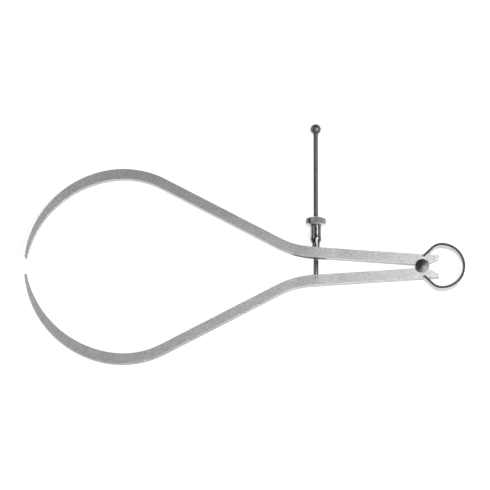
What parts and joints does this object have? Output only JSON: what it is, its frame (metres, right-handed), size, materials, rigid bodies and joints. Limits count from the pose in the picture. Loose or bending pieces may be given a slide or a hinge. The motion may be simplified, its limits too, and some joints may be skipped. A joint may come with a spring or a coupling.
{
  "type": "spring caliper",
  "caption": "Outside spring caliper: bowed flat legs on a grooved fulcrum stud, opened by a round bow spring and held by a swinging screw with a quick-adjusting split nut.",
  "frame": {"origin": "fulcrum axis, on the middle plane of the flat legs", "axes": "+X from the measuring tips to the bow spring, along the caliper's centre line; +Y along the adjusting screw, towards its end ball; +Z across the flat legs"},
  "size_m": [0.2763, 0.1559, 0.0126],
  "materials": {
    "legs": "satin ground steel",
    "stud": "turned steel",
    "bow_spring": "hardened spring steel",
    "screw": "dark threaded steel",
    "nut": "knurled steel",
    "sleeve": "polished steel"
  },
  "bodies": {
    "lower_leg": {"lower_leg": "legs", "screw_pin": "screw"},
    "upper_leg": {"upper_leg": "legs"},
    "stud": {"fulcrum_stud": "stud"},
    "bow": {"bow_spring": "bow_spring"},
    "screw": {"adjusting_screw": "screw", "end_ball": "screw"},
    "sleeve": {"nut_sleeve": "sleeve"},
    "nut": {"front_half_nut": "nut", "rear_half_nut": "nut", "nut_spring": "bow_spring"}
  },
  "joints": [
    {"name": "leg_opening", "type": "hinge", "parent": "lower_leg", "child": "upper_leg", "pos_m": [0, 0, 0], "axis": [0, 0, -1], "range_deg": [-2.3, 46], "deforming": ["bow_spring"]},
    {"name": "stud_turn", "type": "hinge", "parent": "lower_leg", "child": "stud", "pos_m": [0, 0, 0], "axis": [0, 0, -1], "range_deg": [-1.3, 23.1]},
    {"name": "bow_shift", "type": "slide", "parent": "stud", "child": "bow", "axis": [1, 0, 0], "range_m": [-0.0002, 0.0024]},
    {"name": "screw_swing", "type": "hinge", "parent": "lower_leg", "child": "screw", "pos_m": [-0.0666, -0.008, 0], "axis": [0, 0, -1], "range_deg": [-1.4, 25]},
    {"name": "sleeve_swing", "type": "hinge", "parent": "upper_leg", "child": "sleeve", "pos_m": [-0.0666, 0.0129, 0], "axis": [0, 0, 1], "range_deg": [-1.2, 21.4]},
    {"name": "nut_turn", "type": "hinge", "parent": "sleeve", "child": "nut", "pos_m": [-0.0666, 0.0129, 0], "axis": [0, 1, 0], "continuous": true}
  ],
  "couplings": [
    {"joint": "stud_turn", "follows": "leg_opening", "ratio": 0.5},
    {"joint": "bow_shift", "follows": "leg_opening", "m_per_rad": 0.00288},
    {"joint": "screw_swing", "follows": "leg_opening", "ratio": 0.538},
    {"joint": "sleeve_swing", "follows": "leg_opening", "ratio": 0.462}
  ]
}
